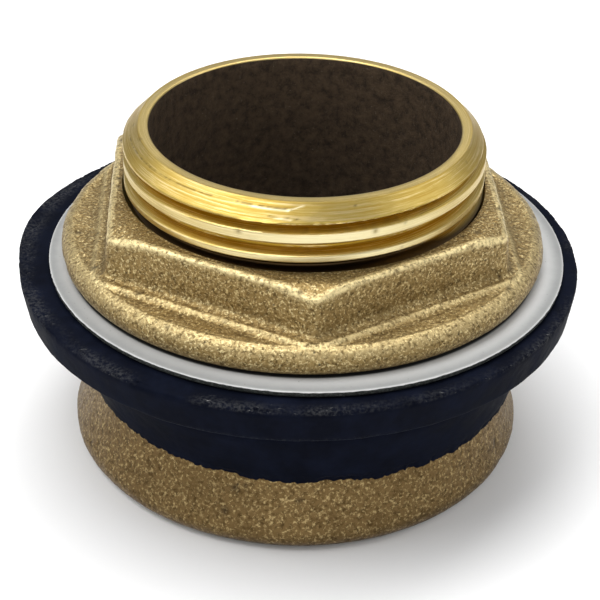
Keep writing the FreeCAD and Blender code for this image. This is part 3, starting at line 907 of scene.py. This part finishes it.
def build_nut_casting(nut, cast):
    """The nut's round flange and hexagon, cast, with a plain hole for its threaded part."""
    angles = around(900)
    low, high = NUT_LOW.z, NUT_HIGH.z
    flange_top = low + nut.flange_thick
    rim = FLANGE_RADIUS - nut.flange_top_rounding
    radius, height = nut_rows(nut, angles)
    near_corner = smooth_step(nut.flat_radius + 1.0 * MM, nut.flat_radius + 3.1 * MM, radius)
    worn_off = near_corner * smooth_step(flange_top + 2 * MM, high, height) * nut.corner_wear
    points = places(angles, radius, height)
    off_mouth = smooth_step(nut.mouth_radius, nut.mouth_radius + 0.35 * MM, radius)
    skin = smooth_step(low + 0.3 * MM, low + 1.2 * MM, height) * off_mouth
    relief = (grain(points, 5.0 * MM, 21) * 0.11 + grain(points, 1.5 * MM, 22) * 0.05
              + grain(points, 0.48 * MM, 23) * 0.045) * MM
    pits = dimples(points, 8, 60, 0.2 * MM, 0.5 * MM, skin > 0.9)
    top_radius = hexagon_radius(nut, angles, high)[:, None]
    # Painted highlights on the edges: the hexagon's top edge, which is also worn, the flange's rim and the
    # ledge round the hexagon.
    top_edge = bell(height - high + 0.2 * MM, 0.3 * MM) * (np.abs(radius - top_radius + 0.2 * MM) < 0.6 * MM)
    rim_highlight = bell(radius - rim - 0.8 * MM, 0.8 * MM) * (height > flange_top - 1.0 * MM)
    radius, height = swell(radius, height, (relief - pits * 0.14 * MM) * skin)
    height = height - worn_off
    apart = hexagon_distance(nut, angles[:, None], radius)
    on_flange = np.abs(height - flange_top) < 0.6 * MM
    ledge_highlight = bell(apart - nut.ledge_reach - 0.25 * MM, 0.32 * MM) * on_flange
    valley = bell(apart - nut.ledge_reach - 1.15 * MM, 0.45 * MM) * on_flange
    crook = bell(apart - 0.25 * MM, 0.5 * MM) * on_flange
    shade = np.clip(valley * 0.16 + crook * 0.2, 0, 1) * (1 - rim_highlight)
    # Painted shadow along the bottom of the flange, where it stands on the washer.
    contact_shadow = smooth_step(low + 0.62 * MM, low + 0.42 * MM, height) * 0.95
    piece = new_piece("nut_casting", places(angles, radius, height), grid_faces(*radius.shape), [cast],
                      math.radians(60), soil_and_shade=np.maximum(pits * 0.75, contact_shadow) + shade,
                      edge=top_edge + rim_highlight * 0.35 + ledge_highlight * 0.42)
    settle(piece, "nut", "hex_nut")


def build_nut_thread(barrel, nut, turned):
    """The nut's threaded lining, countersunk at both mouths."""
    low, high = NUT_LOW.z, NUT_HIGH.z
    angles, height, faces, lowest, highest = thread_grid(barrel, 320, 14, low, high)
    radius = thread_radius(barrel, height, angles) + nut.thread_gap
    radius = np.maximum(radius, nut.mouth_radius - (height - low))
    radius = np.maximum(radius, nut.mouth_radius - (high - height))
    radius[lowest] = nut.mouth_radius
    radius[highest] = nut.mouth_radius
    faces = [face[::-1] for face in faces] + band(lowest, highest)
    piece = new_piece("nut_thread", about_axis(radius, angles, height), faces, [turned], math.radians(42))
    settle(piece, "nut", "hex_nut")


def build_washer(washer, face, core):
    """The loose plastic ring between the nut and the rubber, with a rough dark cut edge."""
    low, high = WASHER_LOW.z, WASHER_HIGH.z
    centre_x = (WASHER_LOW.x + WASHER_HIGH.x) / 2
    outer = WASHER_RADIUS
    rows = outline([
        (outer - washer.undercut, low, 0.06 * MM, 0.1 * MM),
        (outer, low + 0.32 * MM, 0.05 * MM, 0.1 * MM),
        (outer, high, washer.edge_rounding, 0.14 * MM),
        (FLANGE_RADIUS - 1.0 * MM, high, 0, 0.9 * MM),
        (washer.inner_radius, high, washer.edge_rounding, 0.5 * MM),
        (washer.inner_radius, low, washer.edge_rounding, 1.5 * MM),
    ])
    angles, radius, height = wrap(rows, 720)
    points = places(angles, radius, height)
    between_faces = (height < high - washer.edge_rounding * 0.6) & (height > low + 0.01 * MM)
    rough = (grain(points * (1, 1, 2), 0.6 * MM, 31) * 0.05 + grain(points, 0.25 * MM, 32) * 0.03) * MM
    radius = radius + rough * ((radius > outer - 0.3 * MM) & between_faces)
    # Painted highlight along the outer top edge, and painted light on the face towards the nut, where the
    # flange shades it.
    rim = bell(rows[:, 0] - outer, 0.12 * MM) * 0.6
    scuffs_and_painted_light = smooth_step(outer - 0.3 * MM, outer - 2.3 * MM, rows[:, 0]) * 0.6
    edge = np.tile((rim + scuffs_and_painted_light) * (rows[:, 1] > high - washer.edge_rounding), (len(angles), 1))
    is_core = (rows[:, 0] > outer - 0.4 * MM) & (rows[:, 1] < high - washer.edge_rounding * 0.9)
    points = places(angles, radius, height) + (centre_x, 0, 0)
    from_axis = np.hypot(points[..., 0], points[..., 1])
    # Painted shadow line on the face, at the foot of the nut's flange.
    contact_shadow = smooth_step(FLANGE_RADIUS - 0.35 * MM, FLANGE_RADIUS - 0.6 * MM, from_axis)
    piece = new_piece("friction_washer_ring", points, grid_faces(*radius.shape), [face, core],
                      math.radians(40), soil_and_shade=contact_shadow * 0.97, edge=edge,
                      face_material=np.tile(is_core.astype(int), len(angles)))
    settle(piece, "washer", "friction_washer")


def torn(angles, reach, tooth, seed):
    """How far a torn edge at a radius falls short of its line, 0 to about 1: bites, teeth and splinters."""
    points = about_axis(reach, angles, 0 * angles)
    bites = np.clip(grain(points, tooth * 5, seed) + 0.15, 0, 1)
    teeth = np.abs(grain(points, tooth, seed + 1))
    splinters = np.abs(grain(points, tooth * 0.36, seed + 2))
    steps = grain(points, tooth * 1.7, seed + 3) > 0.12
    return np.clip(bites * 0.55 + teeth * 0.45 + splinters * 0.3 + steps * 0.16, 0, 1.2)


def seal_rows(seal, foot, top_radius, slope, lip):
    """Points round the seal's section, whose inside keeps clear of the cone and the barrel. top_radius is the
    cone's, and lip is the radius of the opening at the collar's lower edge."""
    low, high = SEAL_LOW.z, SEAL_HIGH.z
    outer = SEAL_HIGH.x
    seat_height = foot.cone_top + seal.cone_gap
    seat = top_radius + (foot.cone_top - seat_height) * slope + seal.cone_gap * math.hypot(1, slope)
    straight_end = seal.flange_bottom - seal.collar_straight
    return outline([
        (lip + seal.lip_thick, low, 0.12 * MM, 0.3 * MM),
        (seal.collar_radius, straight_end, 3.0 * MM, 0.4 * MM),
        (seal.collar_radius, seal.flange_bottom, 0.4 * MM, 0.6 * MM),
        (outer - seal.flange_taper, seal.flange_bottom, 0.3 * MM, 0.26 * MM),
        (outer, high, 0.22 * MM, 0.24 * MM),
        (WASHER_RADIUS - 1.0 * MM, high, 0, 1.2 * MM),
        (seal.inner_radius, high, 0.25 * MM, 1.2 * MM),
        (seal.inner_radius, seat_height + seat - seal.inner_radius, 0, 1.2 * MM),
        (seat, seat_height, 0, 1.0 * MM),
        (lip, low, 0.12 * MM, 0.3 * MM),
    ])


def build_seal(barrel, foot, seal, rubber):
    """The stepped rubber seal: a wide flange with a torn edge, and a collar that ends in a ragged lip."""
    low, high = SEAL_LOW.z, SEAL_HIGH.z
    outer = SEAL_HIGH.x
    top_radius = barrel.major_radius + foot.cone_step
    slope = cone_slope(foot, top_radius, BODY_HIGH.x)
    lip = top_radius + (foot.cone_top - low) * slope + seal.cone_gap * math.hypot(1, slope)
    angles, radius, height = wrap(seal_rows(seal, foot, top_radius, slope, lip), 700)
    spur = bell(np.abs(turn_from(angles, SEAL_BULGE)), SEAL_BULGE_SPREAD)
    bulge = 0.42 * MM * np.cos(angles - SEAL_BULGE) + 0.6 * MM * spur
    droop = 0.55 * MM * np.cos(angles - SEAL_DROOP)
    radius = radius + bulge[:, None] * smooth_step(seal.collar_radius, outer, radius)
    droop = droop[:, None] * smooth_step(seal.flange_bottom - 1 * MM, low, height)
    height = height - droop
    radius = radius + droop * slope
    near_lip = smooth_step(low + 1.6 * MM, low + 0.1 * MM, height) * (radius < seal.collar_radius)
    bite = torn(angles, lip, seal.tooth, 41)[:, None] * 0.75 * MM * near_lip
    height = height + bite
    radius = radius - bite * slope
    corner = round_bell(radius - outer, height - high, 0.42 * MM)
    tear = torn(angles, outer, seal.tooth * 0.8, 51)[:, None]
    radius = radius - corner * tear * 0.75 * MM
    height = height - corner * tear * 0.30 * MM
    points = places(angles, radius, height)
    open_skin = (radius > seal.collar_radius - 1.5 * MM) & (height > low + 0.3 * MM) & (
        (radius > WASHER_RADIUS + 0.8 * MM) | (height < high - 0.1 * MM))
    relief = (grain(points, 4.0 * MM, 42) * 0.07 + grain(points, 0.9 * MM, 43) * 0.03) * MM
    radius, height = swell(radius, height, relief * open_skin - 0.05 * MM * corner)
    scuffs_and_painted_light = smooth_step(WASHER_RADIUS + 0.7 * MM, outer - 0.3 * MM, radius) * (height > high - 0.5 * MM)
    patchy = np.clip(grain(points, 5.0 * MM, 44) * 1.3 + 0.55, 0, 1)
    low_corner = round_bell(radius - outer + seal.flange_taper, height - seal.flange_bottom, 0.3 * MM)
    piece = new_piece("rubber_seal_ring", places(angles, radius, height), grid_faces(*radius.shape), [rubber],
                      math.radians(45), edge=scuffs_and_painted_light * patchy + low_corner * 0.5)
    settle(piece, "seal", "rubber_seal")


def build_floor(stage):
    """A wide plain floor under the fitting."""
    sides, reach = 96, 4.0
    corners = [(reach * math.cos(turn), reach * math.sin(turn), CAD_BOX[0].z - FLOOR_GAP)
               for turn in around(sides)]
    mesh = bpy.data.meshes.new("floor")
    mesh.from_pydata(corners, [], [list(range(sides))])
    mesh.materials.append(floor_paint(tuple(stage.floor)))
    floor = bpy.data.objects.new("floor", mesh)
    bpy.context.scene.collection.objects.link(floor)


def add_light(name, place, aim, width, depth, power):
    """A soft rectangular light at a place, facing a point."""
    lamp = bpy.data.lights.new(name, "AREA")
    lamp.shape = "RECTANGLE"
    lamp.size = width
    lamp.size_y = depth
    lamp.energy = power
    light = bpy.data.objects.new(name, lamp)
    light.location = place
    light.rotation_euler = (Vector(aim) - Vector(place)).to_track_quat("-Z", "Y").to_euler()
    bpy.context.scene.collection.objects.link(light)


def build_lights(stage):
    """An overhead softbox, a panel in front and at each side, and pale surroundings that darken a little
    towards -Y."""
    aim = (0, 0, 0.02)
    add_light("overhead", (-0.05, 0.04, 0.42), aim, 0.60, 0.26, stage.top_power)
    add_light("front_panel", (0.0, -0.50, 0.18), aim, 0.5, 0.2, stage.front_power)
    add_light("left_panel", (-0.42, -0.05, 0.32), aim, 0.4, 0.25, stage.side_power)
    add_light("right_panel", (0.42, -0.05, 0.32), aim, 0.4, 0.25, 0.85 * stage.side_power)
    world = bpy.data.worlds.new("studio")
    world.use_nodes = True
    nodes, links = world.node_tree.nodes, world.node_tree.links
    background = nodes["Background"]
    background.inputs["Color"].default_value = (1, 1, 1, 1)
    direction = nodes.new("ShaderNodeTexCoord").outputs["Generated"]
    parts = nodes.new("ShaderNodeSeparateXYZ")
    links.new(direction, parts.inputs[0])
    fall = nodes.new("ShaderNodeMapRange")
    links.new(parts.outputs["Y"], fall.inputs["Value"])
    steps = {"From Min": -0.9, "From Max": 0.1, "To Min": 0.8 * stage.sky, "To Max": stage.sky}
    for title, value in steps.items():
        fall.inputs[title].default_value = value
    links.new(fall.outputs[0], background.inputs["Strength"])
    bpy.context.scene.world = world
    bpy.context.scene.view_settings.view_transform = "Standard"


def build_camera(stage):
    """The camera, placed from the centre of the barrel's rim."""
    rim = Vector((0, 0, BODY_HIGH.z))
    back = Vector((0, -math.cos(stage.camera_height), math.sin(stage.camera_height)))
    turn = (Matrix.Rotation(stage.camera_yaw, 4, "Z")
            @ Matrix.Rotation(math.pi / 2 - stage.camera_pitch, 4, "X")
            @ Matrix.Rotation(stage.camera_roll, 4, "Z"))
    camera = bpy.data.objects.new("camera", bpy.data.cameras.new("camera"))
    camera.matrix_world = Matrix.Translation(rim + back * stage.camera_distance) @ turn
    camera.data.lens = stage.lens
    camera.data.sensor_width = 36
    camera.data.clip_start = 0.01
    camera.data.clip_end = 20
    bpy.context.scene.collection.objects.link(camera)
    bpy.context.scene.camera = camera


# ---------------------------------------------------------------- operators

def brass_for_thread(scene):
    """The turned brass, made once and shared by the barrel and the nut."""
    bright, deep = tuple(scene.fitting_barrel.bright), tuple(scene.fitting_barrel.deep)
    return bpy.data.materials.get("machined_brass") or machined_brass(bright, deep)


def skin_for_bore(scene):
    """The bore's dark skin, made once and shared by the barrel and the foot."""
    return bpy.data.materials.get("bore_skin") or bore_skin(tuple(scene.fitting_barrel.bore))


class FITTING_OT_barrel(bpy.types.Operator):
    """Build the threaded barrel"""
    bl_idname = "fitting.barrel"
    bl_label = "Threaded Barrel"

    def execute(self, context):
        scene = context.scene
        build_barrel(scene.fitting_barrel, brass_for_thread(scene), skin_for_bore(scene))
        return {"FINISHED"}


class FITTING_OT_foot(bpy.types.Operator):
    """Build the cast cone foot"""
    bl_idname = "fitting.foot"
    bl_label = "Cone Foot"

    def execute(self, context):
        scene = context.scene
        foot = scene.fitting_foot
        cast = cast_brass("cast_foot_brass", foot, size=1.35, relief=0.09, edge_light=0.3)
        build_foot(scene.fitting_barrel, foot, cast, skin_for_bore(scene))
        return {"FINISHED"}


class FITTING_OT_nut(bpy.types.Operator):
    """Build the flanged hexagon nut: its casting and its thread"""
    bl_idname = "fitting.nut"
    bl_label = "Hexagon Nut"

    def execute(self, context):
        scene = context.scene
        nut = scene.fitting_nut
        cast = cast_brass("cast_nut_brass", nut, size=1.0, relief=0.12, edge_light=0.95)
        build_nut_casting(nut, cast)
        build_nut_thread(scene.fitting_barrel, nut, brass_for_thread(scene))
        return {"FINISHED"}


class FITTING_OT_washer(bpy.types.Operator):
    """Build the plastic friction washer"""
    bl_idname = "fitting.washer"
    bl_label = "Friction Washer"

    def execute(self, context):
        washer = context.scene.fitting_washer
        build_washer(washer, washer_face(tuple(washer.face)), washer_core(tuple(washer.core)))
        return {"FINISHED"}


class FITTING_OT_seal(bpy.types.Operator):
    """Build the stepped rubber seal"""
    bl_idname = "fitting.seal"
    bl_label = "Rubber Seal"

    def execute(self, context):
        scene = context.scene
        seal = scene.fitting_seal
        build_seal(scene.fitting_barrel, scene.fitting_foot, seal, seal_rubber(tuple(seal.rubber)))
        return {"FINISHED"}


class FITTING_OT_stage(bpy.types.Operator):
    """Build the floor, the lights and the camera"""
    bl_idname = "fitting.stage"
    bl_label = "Studio"

    def execute(self, context):
        stage = context.scene.fitting_stage
        build_floor(stage)
        build_lights(stage)
        build_camera(stage)
        return {"FINISHED"}


class FITTING_PT_panel(bpy.types.Panel):
    """Lists the fitting's pieces, each with its sizes and colours"""
    bl_idname = "FITTING_PT_panel"
    bl_label = "Expanding Wall Fitting"
    bl_space_type = "VIEW_3D"
    bl_region_type = "UI"
    bl_category = "Wall Fitting"

    def draw(self, context):
        for operator, group, _ in PIECES:
            box = self.layout.box()
            box.operator(operator.bl_idname)
            settings = getattr(context.scene, group)
            for title in settings.__annotations__:
                box.prop(settings, title)


PIECES = (
    (FITTING_OT_barrel, "fitting_barrel", BarrelSettings),
    (FITTING_OT_foot, "fitting_foot", FootSettings),
    (FITTING_OT_nut, "fitting_nut", NutSettings),
    (FITTING_OT_washer, "fitting_washer", WasherSettings),
    (FITTING_OT_seal, "fitting_seal", SealSettings),
    (FITTING_OT_stage, "fitting_stage", StageSettings),
)


def register():
    """Adds the panel, and each piece's settings and operator."""
    for operator, group, settings in PIECES:
        bpy.utils.register_class(settings)
        setattr(bpy.types.Scene, group, bpy.props.PointerProperty(type=settings))
        bpy.utils.register_class(operator)
    bpy.utils.register_class(FITTING_PT_panel)


def unregister():
    """Takes them away again."""
    bpy.utils.unregister_class(FITTING_PT_panel)
    for operator, group, settings in reversed(PIECES):
        bpy.utils.unregister_class(operator)
        delattr(bpy.types.Scene, group)
        bpy.utils.unregister_class(settings)


def main():
    """Builds every piece and the stage."""
    register()
    for operator, _, _ in PIECES:
        family, title = operator.bl_idname.split(".")
        getattr(getattr(bpy.ops, family), title)()


if __name__ == "__main__":
    main()
